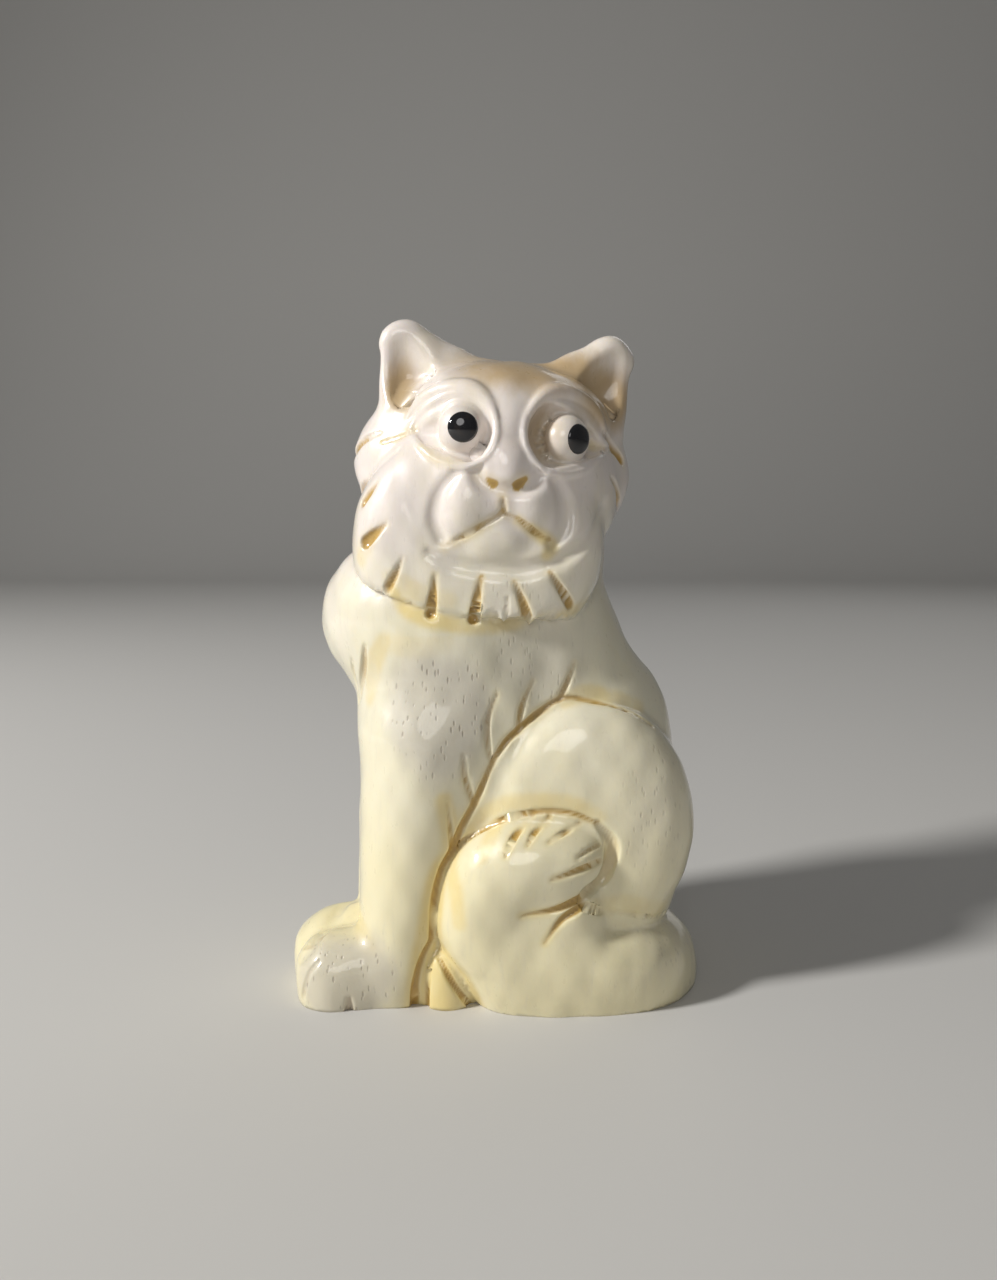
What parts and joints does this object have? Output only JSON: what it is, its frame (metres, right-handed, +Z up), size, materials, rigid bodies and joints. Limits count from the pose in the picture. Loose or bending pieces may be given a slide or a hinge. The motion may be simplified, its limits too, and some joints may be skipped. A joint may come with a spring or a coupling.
{
  "type": "seated cat figurine",
  "caption": "Small seated cat carved in one piece, body in profile and head turned to the viewer, with a notched ruff, a tail wrapped round the haunch and inlaid black pupils.",
  "frame": {"origin": "centre of the bounding box at the flat underside", "axes": "+Z up, -X the way the chest and front paws point, -Y the way the face looks"},
  "size_m": [0.035, 0.021, 0.0551],
  "materials": {
    "ivory": "polished, with amber stain in the carved lines",
    "black_inlay": "high polish"
  },
  "bodies": {
    "root": {"cat_body": "ivory", "pupil_left": "black_inlay", "pupil_right": "black_inlay"}
  },
  "joints": []
}
